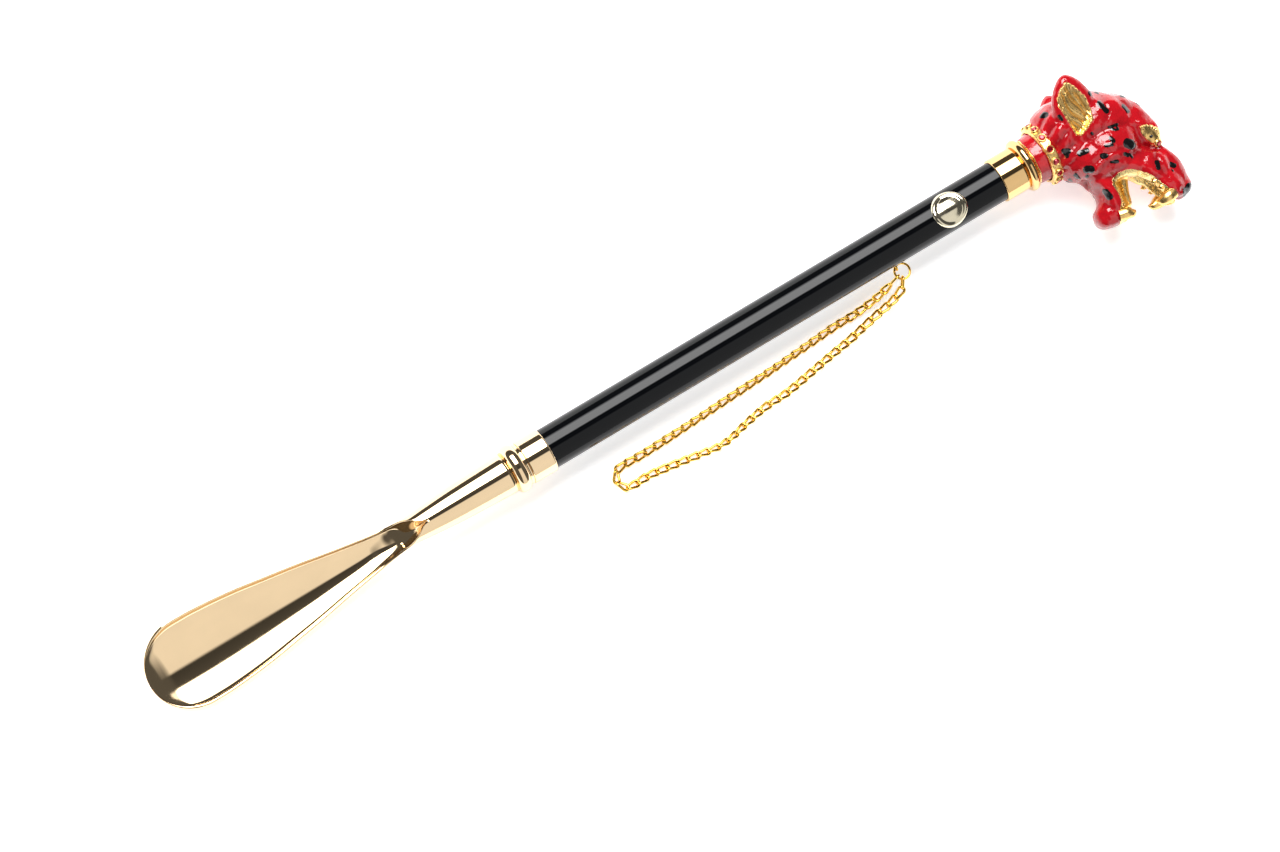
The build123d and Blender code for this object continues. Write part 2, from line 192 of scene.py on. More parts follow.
def wire_link(length, width, wire, twist, sides=8, bend_steps=8):
    """One oval wire link along X, flat in XY, twisted about its length."""
    bm = bmesh.new()
    bow = (width - wire) / 2
    half = (length - width) / 2
    start = Matrix.Translation((-half, bow, 0)) @ Matrix.Rotation(pi / 2, 4, "Y")
    ring = bmesh.ops.create_circle(bm, segments=sides, radius=wire / 2, matrix=start)["verts"]
    edges = list({edge for vert in ring for edge in vert.link_edges})
    for turn_centre, slide in ((half, Vector((2 * half, 0, 0))), (-half, Vector((-2 * half, 0, 0)))):
        grown = bmesh.ops.extrude_edge_only(bm, edges=edges)["geom"]
        bmesh.ops.translate(bm, vec=slide, verts=[g for g in grown if isinstance(g, bmesh.types.BMVert)])
        edges = [g for g in grown if isinstance(g, bmesh.types.BMEdge)]
        spun = bmesh.ops.spin(
            bm, geom=edges, cent=(turn_centre, 0, 0), axis=(0, 0, -1), angle=pi, steps=bend_steps
        )["geom_last"]
        edges = [g for g in spun if isinstance(g, bmesh.types.BMEdge)]
    bmesh.ops.remove_doubles(bm, verts=bm.verts, dist=wire / 50)
    bmesh.ops.recalc_face_normals(bm, faces=bm.faces)
    for vert in bm.verts:
        vert.co = Matrix.Rotation(twist * vert.co.x / length, 3, "X") @ vert.co
    return bm


chain_gold = plated("chain_gold_plate", "#FBCB5C", 0.1, 3 * MM, haze=0.08)
route = [Vector((RING_CENTRE.x + x * MM, RING_CENTRE.y + y * MM, z * MM)) for x, y, z in CHAIN_POINTS]
curve = bpy.data.curves.new("wrist_chain_route", "CURVE")
curve.dimensions = "3D"
curve.resolution_u = 12
spline = curve.splines.new("NURBS")
spline.points.add(len(route) - 1)
for point, place in zip(spline.points, route):
    point.co = (*place, 1)
spline.order_u = 3
spline.use_endpoint_u = True
route_object = placed_object("wrist_chain_route", curve)
route_mesh = bpy.data.meshes.new_from_object(route_object)
chain_line = [vert.co.copy() for vert in route_mesh.vertices]
bpy.data.objects.remove(route_object)
bpy.data.meshes.remove(route_mesh)
along = np.concatenate([[0], np.cumsum([(b - a).length for a, b in zip(chain_line, chain_line[1:])])])
chain_length = float(along[-1])


def on_chain(distance):
    """The chain line's point and direction at a distance from its start."""
    at = [float(np.interp(distance, along, [p[axis] for p in chain_line])) for axis in range(3)]
    step = 1.5 * MM
    ahead = [float(np.interp(distance + step, along, [p[axis] for p in chain_line])) for axis in range(3)]
    behind = [float(np.interp(distance - step, along, [p[axis] for p in chain_line])) for axis in range(3)]
    return Vector(at), (Vector(ahead) - Vector(behind)).normalized()


link_count = int(chain_length / LINK_PITCH)
pitch = chain_length / link_count
pattern = meshed("link_pattern", wire_link(LINK_LENGTH, CHAIN_WIDTH, LINK_WIRE, LINK_TWIST))
links = bmesh.new()
for place in range(link_count):
    middle, forward = on_chain((place + 0.5) * pitch)
    side = Vector((0, 0, 1)).cross(forward).normalized()
    up = forward.cross(side)
    sway = noise.noise(Vector((place * 0.13, 3, 0)))
    wobble = noise.noise(Vector((place * 0.9, 0, 0)))
    lean = radians(-38 + 34 * sway + 9 * wobble)
    leaning_side, leaning_up = side * cos(lean) + up * sin(lean), up * cos(lean) - side * sin(lean)
    turn = Matrix((forward, leaning_side, leaning_up)).transposed()
    already = len(links.verts)
    links.from_mesh(pattern)
    links.verts.ensure_lookup_table()
    for vert in links.verts[already:]:
        vert.co = middle + turn @ vert.co
bpy.data.meshes.remove(pattern)
for vert in links.verts:
    vert.co.z = max(vert.co.z, CLEAR_OF_TABLE)
wrist_chain = piece(
    "wrist_chain_links", links, chain_gold, "wrist_chain", replaced=["wrist_chain"]
)
[tuple(point) for point in chain_line]
for name in ("chain_end_link_inner", "chain_end_link_outer"):
    finish_surface(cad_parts[name].data, chain_gold)

# Blade and socket: one brass casting, ground smooth, polished and plated pale gold. The trough is
# a bent section with a rounded rim, and towards the socket its walls close over into a round bar,
# with a scooped lip where they meet.
BLADE_WALL = 1.15
blade_low, blade_high = (Vector(corner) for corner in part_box("shoehorn_blade"))
BLADE_TIP = Vector((blade_low.x, AXIS_Y, AXIS_Z))
BLADE_LENGTH = (blade_high.x - blade_low.x) / MM
TIP_REACH = 21.3
LIP = 138.6  # the lip's top, from the tip
HALF_WIDTH = [
    (0, 20.2), (TIP_REACH, 20.2), (28, 20.15), (35, 19.75), (49.5, 18.35), (65, 16.05), (80, 13.7),
    (94.5, 11.05), (109, 8.65), (117, 7.4), (124, 6.6), (128, 6.35), (133, 6.7), (139, 7.3),
    (153, 8.5), (168, 9.2), (BLADE_LENGTH, 9.7),
]
EDGE_ANGLE = [
    (0, 36.5), (80, 36.5), (98, 38), (108, 40.5), (114, 45), (118, 53), (121.5, 66), (124.5, 84),
    (127.5, 107), (130.5, 132), (133.5, 155), (136.5, 173), (LIP, 180), (BLADE_LENGTH, 180),
]
BLADE_ROLL = [(0, 8.5), (104, 8.5), (112, 7.0), (120, 2.5), (125, 0), (BLADE_LENGTH, 0)]
BACK_DEPTH = [
    (0, 18.6), (6, 19.6), (14, 20.4), (26, 20.45), (49.5, 19.1), (80, 15.6), (94.5, 13.6), (109, 11.3),
    (123, 8.6), (131, 7.0), (139, 7.3), (153, 8.5), (168, 9.2), (BLADE_LENGTH, 9.7),
]
EDGE_THICKNESS = [
    (0, 1.75), (108, 1.75), (120, 1.3), (126, 0.9), (132, 0.5), (LIP, 0.0), (BLADE_LENGTH, 0.0),
]
SCOOP_START = 110
SCOOP_BLEND = 13
SCOOP_FLOOR = [
    (110, -8.9), (118, -8.1), (122, -7.3), (125, -6.5), (129, -5.0), (132, -3.0), (134.5, 0.0),
    (136.6, 4.2), (LIP, 8.1), (BLADE_LENGTH, 9.7),
]
TROUGH_POINTS = 65
SCOOP_LEAN = 1.35  # more than one puts the scoop's bottom nearer the near rim


def through(points, at):
    """The height at a place on a smooth line through points, which never swings past them."""
    xs, ys = zip(*points)
    slopes = [(y1 - y0) / (x1 - x0) for (x0, y0), (x1, y1) in zip(points, points[1:])]
    lean = [slopes[0]] + [
        0 if before * after <= 0 else 2 * before * after / (before + after)
        for before, after in zip(slopes, slopes[1:])
    ] + [slopes[-1]]
    at = min(max(at, xs[0]), xs[-1])
    place = max(i for i in range(len(xs) - 1) if xs[i] <= at)
    width = xs[place + 1] - xs[place]
    t = (at - xs[place]) / width
    return (
        (2 * t**3 - 3 * t**2 + 1) * ys[place] + (t**3 - 2 * t**2 + t) * width * lean[place]
        + (3 * t**2 - 2 * t**3) * ys[place + 1] + (t**3 - t**2) * width * lean[place + 1]
    )


def blade_section(distance):
    """The closed outline across the blade: back, far rim, trough or scoop, near rim."""
    half_width, angle = through(HALF_WIDTH, distance), radians(through(EDGE_ANGLE, distance))
    roll = radians(through(BLADE_ROLL, distance))
    far, near = angle + roll, angle - roll
    radius = 2 * half_width / (sin(far) + sin(near)) if angle < pi / 2 else half_width
    middle = half_width - radius * sin(far) if angle < pi / 2 else 0
    centre = Vector((middle, radius - through(BACK_DEPTH, distance)))
    if distance < TIP_REACH:
        reach = half_width * sqrt(max(0, 1 - ((TIP_REACH - distance) / TIP_REACH) ** 2))
        far = min(far, asin((reach - middle) / radius))
        near = min(near, asin((reach + middle) / radius))
    edge = through(EDGE_THICKNESS, distance)

    def around(turn, length):
        return centre + Vector((sin(turn), -cos(turn))) * length

    def rim(turn, side):
        outward, tangent = Vector((sin(turn), -cos(turn))), Vector((cos(turn), sin(turn))) * side
        heart = around(turn, radius - edge / 2)
        turns = np.linspace(0, pi, 9)[1:-1]
        return [heart + (outward * cos(t) + tangent * sin(t)) * edge / 2 for t in turns]

    scooped = min(max((distance - SCOOP_START) / SCOOP_BLEND, 0), 1)
    scooped = scooped * scooped * (3 - 2 * scooped)
    far_rim, near_rim = around(far, radius - edge), around(-near, radius - edge)
    low = through(SCOOP_FLOOR, distance)
    trough = []
    for part in np.linspace(0, 1, TROUGH_POINTS):
        turn = far + (-near - far) * part
        plain = around(turn, radius - BLADE_WALL).lerp(around(turn, radius - edge), abs(1 - 2 * part) ** 14)
        rim_line = far_rim.lerp(near_rim, (1 - cos(pi * part)) / 2)
        cup = Vector((rim_line.x, rim_line.y - (rim_line.y - low) * sin(pi * part ** SCOOP_LEAN)))
        if angle < pi / 2:
            cup.y = max(cup.y, plain.y)
        trough.append(plain.lerp(cup, scooped))
    if distance >= LIP:
        trough = [around(pi, radius)] * TROUGH_POINTS
    back = [around(turn, radius) for turn in np.linspace(-near, far, 49)]
    points = [tuple(point) for point in back + rim(far, 1) + trough + rim(-near, -1)[::-1]]
    return points + points[:1]


def grid_sheet(bm, rows, columns, place):
    """A grid of rows by columns, each vertex put where place(row, column) says."""
    verts = bmesh.ops.create_grid(bm, x_segments=columns - 1, y_segments=rows - 1, size=1)["verts"]
    for vert in verts:
        column = round((vert.co.x + 1) / 2 * (columns - 1))
        row = round((vert.co.y + 1) / 2 * (rows - 1))
        vert.co = place(row, column)
    return verts


pale_gold = plated("pale_gold_plate", "#FADDB2", 0.035, 14 * MM, haze=0.035)
tip_stations = [TIP_REACH * (1 - cos(radians(angle))) for angle in range(0, 90, 4)]
body_stations = [
    *np.linspace(TIP_REACH, 100, 34), *np.linspace(101, 143, 106),
    *np.linspace(145, BLADE_LENGTH - 0.4, 18),
]
stations = tip_stations + body_stations
outlines = [blade_section(distance) for distance in stations]
bm = bmesh.new()
grid_sheet(
    bm, len(stations), len(outlines[0]),
    lambda row, column: BLADE_TIP + Vector((stations[row], *outlines[row][column])) * MM,
)
bmesh.ops.remove_doubles(bm, verts=bm.verts, dist=2e-6)
end_edges = [edge for edge in bm.edges if edge.is_boundary]
bmesh.ops.holes_fill(bm, edges=end_edges, sides=0)
piece("blade_and_socket", bm, pale_gold, replaced=["shoehorn_blade"])


# Bead rings and ferrules: turned from brass bar, polished and plated. The lower pair is pale gold
# and the upper pair is yellower. The studs inside screw them to the wood.
def turned(name, profile, material, replaced, steps=128):
    """A turned piece on the shaft's line, from points (station, radius) in millimetres."""
    bm = bmesh.new()
    verts = [bm.verts.new((station, AXIS_Y, AXIS_Z + radius * MM)) for station, radius in profile]
    edges = [bm.edges.new(pair) for pair in zip(verts, verts[1:])]
    bmesh.ops.spin(
        bm, geom=edges, cent=(0, AXIS_Y, AXIS_Z), axis=(1, 0, 0), angle=2 * pi, steps=steps, use_merge=True
    )
    return piece(name, bm, material, replaced=replaced)


def arc(start, end, base, top, steps=14):
    """Points over a half-round bead from start to end."""
    middle, half = (start + end) / 2, (end - start) / 2
    return [
        (middle - half * cos(pi * step / steps), base + (top - base) * sin(pi * step / steps))
        for step in range(steps + 1)
    ]


yellow_gold = plated("yellow_gold_plate", "#E9C186", 0.04, 9 * MM, haze=0.05)
FERRULE_RADIUS = 10.5
HIDDEN_RADIUS = 3.0
lower_ring_x = [corner[0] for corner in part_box("lower_bead_ring")]
turned(
    "bead_ring_lower",
    [(lower_ring_x[0], HIDDEN_RADIUS), (lower_ring_x[0], 9.4)]
    + arc(lower_ring_x[0] + 0.1 * MM, lower_ring_x[0] + 6.3 * MM, 9.6, 11.65)
    + [(lower_ring_x[0] + 6.6 * MM, 9.9), (lower_ring_x[1] - 0.3 * MM, 10.1), (lower_ring_x[1], 9.9),
       (lower_ring_x[1], HIDDEN_RADIUS)],
    pale_gold, ["lower_bead_ring"],
)


def ferrule_profile(closed, mouth):
    """A cup's outline with a softly broken edge at each end."""
    way = 1 if mouth > closed else -1
    return [
        (closed, HIDDEN_RADIUS), (closed, 10.05), (closed + way * 0.12 * MM, 10.32),
        (closed + way * 0.45 * MM, FERRULE_RADIUS), (closed + way * 0.9 * MM, FERRULE_RADIUS),
        (mouth - way * 0.9 * MM, FERRULE_RADIUS), (mouth - way * 0.5 * MM, FERRULE_RADIUS),
        (mouth - way * 0.12 * MM, 10.38), (mouth, 10.1), (mouth, 9.52),
    ]


lower_ferrule_x = [corner[0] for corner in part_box("lower_ferrule")]
upper_ferrule_x = [corner[0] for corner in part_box("upper_ferrule")]
upper_ring_x = [corner[0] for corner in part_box("upper_bead_ring")]
turned("ferrule_lower", ferrule_profile(*lower_ferrule_x), pale_gold, ["lower_ferrule"])
turned(
    "ferrule_upper", ferrule_profile(*upper_ferrule_x[::-1]), yellow_gold, ["upper_ferrule"],
)
turned(
    "bead_ring_upper",
    [(upper_ring_x[0], HIDDEN_RADIUS), (upper_ring_x[0], 9.4), (upper_ring_x[0] + 0.5 * MM, 9.4)]
    + arc(upper_ring_x[0] + 0.5 * MM, upper_ring_x[1] - 0.05 * MM, 10.3, 12.7, steps=18)
    + [(upper_ring_x[1], 10.2), (upper_ring_x[1], HIDDEN_RADIUS)],
    yellow_gold, ["upper_bead_ring"],
)

# Shaft: turned hardwood under many coats of black lacquer, rubbed down and polished to a mirror.
# Its edges are broken at both ends, where the ferrules take it.
lacquer, shader = new_material("black_piano_lacquer")
place = add_node(lacquer, "TexCoord").outputs["Object"]
ripple = add_node(lacquer, "TexNoise", {"Vector": place, "Scale": 1 / (7 * MM), "Detail": 1.0})
swirl = add_node(lacquer, "TexNoise", {"Vector": place, "Scale": 1 / (1.2 * MM), "Detail": 3.0})
gloss = add_node(lacquer, "MapRange", {"Value": swirl.outputs["Fac"], "To Min": 0.035, "To Max": 0.075})
level = add_node(lacquer, "Bump", {"Height": ripple.outputs["Fac"], "Distance": 0.004 * MM})
fill_sockets(shader, {
    "Base Color": linear("#050608"), "IOR": 1.3, "Roughness": gloss.outputs["Result"],
    "Normal": level.outputs["Normal"],
})
SHAFT_RADIUS = 9.5
shaft_x = [corner[0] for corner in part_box("shaft")]
turned(
    "lacquered_shaft",
    [(shaft_x[0], HIDDEN_RADIUS), (shaft_x[0], SHAFT_RADIUS - 0.3), (shaft_x[0] + 0.3 * MM, SHAFT_RADIUS),
     (shaft_x[0] + 0.6 * MM, SHAFT_RADIUS), (shaft_x[1] - 0.6 * MM, SHAFT_RADIUS),
     (shaft_x[1] - 0.3 * MM, SHAFT_RADIUS), (shaft_x[1], SHAFT_RADIUS - 0.3), (shaft_x[1], HIDDEN_RADIUS)],
    lacquer, ["shaft"], steps=192,
)

# Head: one brass casting, ground and plated, with red glass enamel fired over it, raised drops of
# black enamel, and bare gold left in the mouth and along the lips. It is sculpted here from masses
# grown together, pressed to an outline, cut open at the mouth and worked over with strokes.
HEAD_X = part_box("leopard_head")[0][0]
VIEW_LEAN = 0.2126  # how far up the head a pattern shifts for each millimetre out
MASSES = [  # forward, up and out from the neck's foot, three radii, and a tilt in degrees
    (-1, 36, 0, 18.5, 20.5, 17.5, 0), (-4, 19, 0, 14, 15.5, 16, 0), (6, 20, 0, 13, 13.5, 13.5, 0),
    (12, 34, 6.5, 14, 14.5, 10.8, -20), (10, 49, 0, 13.5, 11, 13.2, 0),
    (16.0, 53.4, 6.6, 6.8, 5.4, 4.6, 15), (31, 54.5, 0, 18, 6.6, 9.0, 4),
    (38, 50, 5.2, 10, 5.2, 5.0, 20), (28.5, 46.5, 7.6, 9, 6.5, 4.8, 38),
    (44.2, 55.6, 0, 5.2, 5.2, 6.6, 0), (13, 26, 7, 11, 10, 8.6, 0), (27, 24, 5.4, 13, 4.9, 5.0, 0),
    (38, 21, 0, 7.2, 7.6, 7.6, 0), (39.6, 17.5, 0, 5.2, 5.2, 6.2, 0), (29, 23.6, 0, 12, 3.8, 8.2, 0),
    (24, 38, 8.4, 5.5, 10, 4.4, 10),
]
RIGHT_EAR = (-10.6, 27.4, 14.4, 15.2, 9.6, 4.2, -8, 15)
LEFT_EAR = (-8.4, 27.4, -14.2, 13.2, 8.4, 4.4, -6, -13)
BACK_OUTLINE = [
    (-11.3, -1), (-11.6, 2), (-12.2, 4.5), (-13.6, 5.8), (-14.0, 7.6), (-14.0, 9.7), (-16.0, 11.8),
    (-16.6, 13.9), (-17.2, 17.5), (-18.2, 22), (-18.4, 28), (-17.4, 33.5), (-15.4, 37.5), (-13.7, 40.0),
    (-12.2, 42.4), (-10.1, 45.5), (-8.3, 48.6), (-4.9, 52.2), (-1.3, 54.5), (1.8, 56.4), (6.0, 57.9),
    (10.1, 58.6), (14.8, 59.3), (18.0, 59.2), (21.0, 58.0), (23.5, 57.2), (26.5, 57.8), (29.8, 59.4),
    (34.0, 60.7), (37.6, 61.0), (41.7, 60.8), (45.4, 60.0), (47.4, 58.2), (48.3, 55.3), (49.4, 53.2),
    (49.7, 51.7), (49.3, 49.8), (48.6, 47.0),
]
JAW_OUTLINE = [
    (45.0, 26.0), (44.4, 22.1), (43.9, 19.0), (42.9, 15.9), (41.3, 13.6), (39.2, 13.2), (36.6, 13.9),
    (35.0, 15.4), (34.2, 17.4), (32.0, 19.2), (29.3, 20.2), (26.7, 19.9), (23.6, 18.8), (20.5, 17.0),
    (18.4, 14.9), (16.4, 12.6), (14.0, 10.4), (13.2, 8.2), (12.2, 5.6), (11.5, 3.0), (11.2, -1),
]
HALF_WIDTHS = [(-20, 20), (10, 20), (18, 16.2), (24, 14.2), (30, 12.4), (38, 11.0), (44, 9.6), (50, 8.0)]
ROUNDINGS = [(-20, 17), (8, 17), (18, 12), (26, 8), (34, 6.8), (50, 6.0)]
NECK_WIDTHS = [(-2, 11.2), (5, 12.2), (10, 13.6), (14, 15.8), (20, 19), (26, 21), (62, 21)]
MOUTH = [
    (56, 48.4), (49.3, 47.7), (46.4, 47.1), (42.3, 46.2), (39.7, 45.1), (37.1, 44.0), (34.0, 42.1),
    (30.9, 39.6), (28.4, 36.8), (27.0, 34.0), (26.4, 31.0), (26.9, 28.6), (28.8, 27.4), (31.4, 27.9),
    (34.2, 28.2), (36.8, 27.2), (39.7, 25.4), (42.3, 23.9), (46, 23.0), (56, 22),
]
EAR_OPENING = [
    (-22.0, 33.6), (-16.8, 35.9), (-12.2, 37.3), (-6.5, 36.9), (-1.3, 35.1), (0.8, 31.0), (2.1, 27.3),
    (0.8, 25.0), (-3.9, 24.5), (-9.0, 24.8), (-14.2, 24.2), (-17.9, 25.8), (-20.5, 28.9), (-22.0, 32.0),
]
LEFT_OPENING = [(0.85 * forward + 0.4, 0.88 * up + 3.2) for forward, up in EAR_OPENING]
EYE = [
    (11.7, 52.4), (12.2, 55.0), (13.8, 57.6), (16.2, 59.7), (18.8, 60.6), (21.4, 60.2), (23.0, 58.4),
    (23.0, 55.6), (22.2, 53.6), (19.2, 52.4), (15.8, 51.5), (13.4, 51.4),
]
STROKES = [  # depth, half width, and the line each is worked along
    (-1.1, 1.7, [(24.2, 57.5), (25.2, 54.5), (27.6, 51.2), (31, 49.5)]),
    (-0.8, 1.3, [(11, 50.6), (15, 49.4), (19, 50.0), (23, 51.8)]),
    (0.7, 1.6, [(10.5, 53.5), (13, 58.0), (18.5, 61)]),
    (0.6, 1.9, [(27, 55.2), (33, 53.8), (40, 54)]), (-0.7, 1.3, [(28, 52.6), (34, 51.2), (41, 52)]),
    (0.7, 1.8, [(21.5, 36), (24, 41), (29, 46), (36, 50), (43, 52)]),
    (-0.9, 1.6, [(22, 47), (19.2, 39), (18.4, 31), (20.5, 24.5)]),
    (-0.7, 1.5, [(16.5, 41), (14.6, 33), (15.6, 25), (19.5, 20.5)]),
    (0.6, 1.3, [(17.4, 37), (16.6, 30), (18.4, 23)]),
    (-0.8, 1.6, [(7, 45), (4.6, 37), (5.6, 28), (7.5, 19)]), (-0.7, 1.5, [(-8, 44), (0, 42), (5, 37)]),
    (-1.0, 1.1, [(-15, 21), (-12, 15), (-9.5, 11)]), (0.6, 1.0, [(-12.5, 20.5), (-9.5, 14), (-7, 11.5)]),
    (-1.0, 1.1, [(-9, 21.5), (-6.4, 15), (-5, 11.5)]), (0.6, 1.0, [(-6, 21), (-3.5, 15), (-2, 11.5)]),
    (-1.0, 1.1, [(-2.6, 21), (0.4, 15), (1.2, 11.5)]), (0.6, 1.0, [(1, 20), (3, 15), (4, 11.5)]),
    (-1.0, 1.1, [(4, 21.5), (6, 15.5), (6.4, 11.5)]), (-0.9, 1.0, [(10, 19), (11.4, 14), (11, 11)]),
    (0.6, 1.5, [(24, 24.6), (30, 26), (36, 24.5)]), (-0.6, 1.2, [(26, 21.8), (32, 22.2), (37, 17.5)]),
    (-0.6, 1.2, [(-13, 46), (-6, 50), (2, 51.5)]), (0.5, 1.6, [(-6, 47), (2, 49), (9, 50)]),
    (-1.4, 0.9, [(46.6, 56.6), (45.4, 55.0)]),
]
SPOTS = [  # forward, up, length, width, degrees from straight forward
    (1.6, 50.6, 5, 2.3, 15), (-3.9, 41.8, 7, 2.6, 15), (-12.4, 39.7, 2.5, 2, 0), (-10.6, 43.4, 2.5, 1.5, 40),
    (-3.3, 52.7, 3, 1.2, 50), (3.4, 57.4, 3, 1.1, 30), (5.4, 41.6, 5.2, 1.5, 80), (6.9, 40.8, 3.4, 1.7, 35),
    (7.5, 42.7, 2.4, 1.2, -20), (10.6, 37.7, 3.8, 2.1, 15), (11.9, 35.3, 4.4, 1.7, 70),
    (16.0, 43.6, 6.2, 4.2, 35), (19.4, 40.2, 3.4, 1.7, 40), (20.9, 41.8, 2.4, 1.3, 10),
    (19.2, 33.8, 4.2, 1.3, 70), (14.8, 31.0, 4, 2.5, 65), (3.6, 31.5, 2, 1.3, 0), (8.8, 23.7, 6, 2.7, 75),
    (16.5, 22.4, 5, 3.2, 60), (18.6, 20.2, 1.7, 1.5, 0), (16.3, 16.4, 4, 2, 25), (4.2, 17.4, 4.8, 2.6, 50),
    (5.9, 16.6, 3.2, 2.2, 0), (-14.2, 17.2, 4.6, 2.6, 70), (-9.6, 22.9, 3.4, 1.6, 0),
    (30.3, 24.2, 6, 2.6, 5), (30.5, 50.6, 4.6, 2.1, -20), (34.0, 56.6, 4, 2.5, 40),
    (36.3, 54.9, 1.9, 1.3, 0), (16.9, 13.1, 3, 1.5, 20), (47.0, 57.4, 6.6, 4.0, -62),
]
NOSE_FORWARD = 44


def nearest_on(points, line):
    """The nearest places on a line of points to many points, and their distances."""
    best, nearest = np.full(len(points), np.inf), np.zeros_like(points)
    for start, end in zip(np.array(line[:-1], float), np.array(line[1:], float)):
        step = end - start
        share = np.clip((points - start) @ step / max(step @ step, 1e-9), 0, 1)
        place = start + share[:, None] * step
        distance = np.linalg.norm(points - place, axis=1)
        closer = distance < best
        best[closer], nearest[closer] = distance[closer], place[closer]
    return nearest, best


def depth_inside(points, outline):
    """How far points lie inside a closed outline; negative outside."""
    within = np.zeros(len(points), bool)
    for (x0, y0), (x1, y1) in zip(outline, outline[1:] + outline[:1]):
        crosses = (y0 > points[:, 1]) != (y1 > points[:, 1])
        within ^= crosses & (points[:, 0] < x0 + (points[:, 1] - y0) * (x1 - x0) / ((y1 - y0) or 1e-9))
    distance = nearest_on(points, outline + outline[:1])[1]
    return np.where(within, distance, -distance)


def on_side(places):
    """Where places on the head fall on its side pattern, the same for the right and the left."""
    return np.column_stack([places[:, 0], places[:, 1] + VIEW_LEAN * np.abs(places[:, 2])])


def spread(places, size, offset=0.0):
    """Smooth seeded noise at places, about -1 to 1, with features of a given size."""
    return np.array([noise.noise(Vector(place) / size + Vector((offset, 0, 0))) for place in places])


def coordinates(mesh):
    """A mesh's vertices and normals as arrays."""
    places, normals = np.empty(len(mesh.vertices) * 3), np.empty(len(mesh.vertices) * 3)
    mesh.vertices.foreach_get("co", places)
    mesh.vertex_normals.foreach_get("vector", normals)
    return places.reshape(-1, 3), normals.reshape(-1, 3)


def regrown(mesh, voxel, cutters=None):
    """The mesh with the cutters taken out of it, grown again as one skin of small even faces."""
    rough = placed_object("rough", mesh)
    if cutters:
        knife = placed_object("knife", cutters)
        cut = rough.modifiers.new("cut", "BOOLEAN")
        cut.object, cut.operation, cut.solver = knife, "DIFFERENCE", "EXACT"
    skin = rough.modifiers.new("skin", "REMESH")
    skin.mode, skin.voxel_size = "VOXEL", voxel
    made = bpy.data.meshes.new_from_object(rough.evaluated_get(bpy.context.evaluated_depsgraph_get()))
    bpy.data.objects.remove(rough)
    bpy.data.meshes.remove(mesh)
    if cutters:
        bpy.data.objects.remove(knife)
        bpy.data.meshes.remove(cutters)
    return made


def smoothed(mesh, times):
    """Smooth a mesh's vertices a number of times."""
    bm = bmesh.new()
    bm.from_mesh(mesh)
    for _ in range(times):
        bmesh.ops.smooth_vert(
            bm, verts=bm.verts, factor=0.5, use_axis_x=True, use_axis_y=True, use_axis_z=True
        )
    bm.to_mesh(mesh)
    bm.free()


def mass(bm, forward, up, out, reach, tall, wide, tilt, sweep=0):
    """Add one ellipsoid to a bmesh."""
    placed = (
        Matrix.Translation((forward, up, out)) @ Matrix.Rotation(radians(sweep), 4, "Y")
        @ Matrix.Rotation(radians(tilt), 4, "Z")
        @ Matrix.Diagonal((reach, tall, wide, 1))
    )
    return placed, bmesh.ops.create_icosphere(bm, subdivisions=4, radius=1, matrix=placed)["verts"]


bm = bmesh.new()
for forward, up, out, *form in MASSES:
    for side in ((1, -1) if out else (0,)):
        mass(bm, forward, up, side * out, *form)
for ear in (RIGHT_EAR, LEFT_EAR):
    placed, verts = mass(bm, *ear)
    for vert in verts:
        local = placed.inverted() @ vert.co
        local.y *= 1 - 0.38 * max(0, -local.x) ** 2
        vert.co = placed @ local
bmesh.ops.create_cone(
    bm, cap_ends=True, segments=96, radius1=11.0, radius2=12.6, depth=16,
    matrix=Matrix.Translation((0, 8, 0)) @ Matrix.Rotation(-pi / 2, 4, "X"),
)
head_mesh = regrown(meshed("rough", bm), 0.7)
places, _ = coordinates(head_mesh)
flat = places[:, :2].copy()
is_ear = (np.abs(places[:, 2]) > 9) & (places[:, 0] < 5) & (places[:, 1] > 16) & (places[:, 1] < 37)
outside = (depth_inside(flat, BACK_OUTLINE + JAW_OUTLINE) < 0) & ~is_ear
rim_line = np.minimum(nearest_on(flat, BACK_OUTLINE)[1], nearest_on(flat, JAW_OUTLINE)[1])
pulled = nearest_on(flat, BACK_OUTLINE + JAW_OUTLINE + BACK_OUTLINE[:1])[0]
rim_line[outside] = 0
places[outside, :2] = pulled[outside]
widths = np.minimum(
    np.interp(flat[:, 0], *zip(*HALF_WIDTHS)), np.interp(flat[:, 1], *zip(*NECK_WIDTHS)))
rounding = np.minimum(np.interp(flat[:, 0], *zip(*ROUNDINGS)), widths)
share = 1 - np.clip(rim_line / rounding, 0, 1)
limit = np.where(is_ear, 30, widths * np.sqrt(np.maximum(1 - share ** 2, 0)))
places[:, 2] = np.clip(places[:, 2], -limit, limit)
head_mesh.vertices.foreach_set("co", places.ravel())

knife = bmesh.new()
floor_of_mouth = [knife.verts.new((forward, up, -25)) for forward, up in MOUTH]
face = knife.faces.new(floor_of_mouth)
grown = bmesh.ops.extrude_face_region(knife, geom=[face])["geom"]
bmesh.ops.translate(knife, vec=(0, 0, 50), verts=[g for g in grown if isinstance(g, bmesh.types.BMVert)])
bmesh.ops.recalc_face_normals(knife, faces=knife.faces)
head_mesh = regrown(head_mesh, 0.6, meshed("mouth", knife))
knife = bmesh.new()
PALATE = (37.5, 43.6, 0, 11.5, 6.4, 6.6, 22)
JAW_HOLLOW = (36.0, 27.6, 0, 9.5, 4.2, 5.8, -8)
mass(knife, *PALATE)
mass(knife, *JAW_HOLLOW)
head_mesh = regrown(head_mesh, 0.5, meshed("hollows", knife))
smoothed(head_mesh, 5)

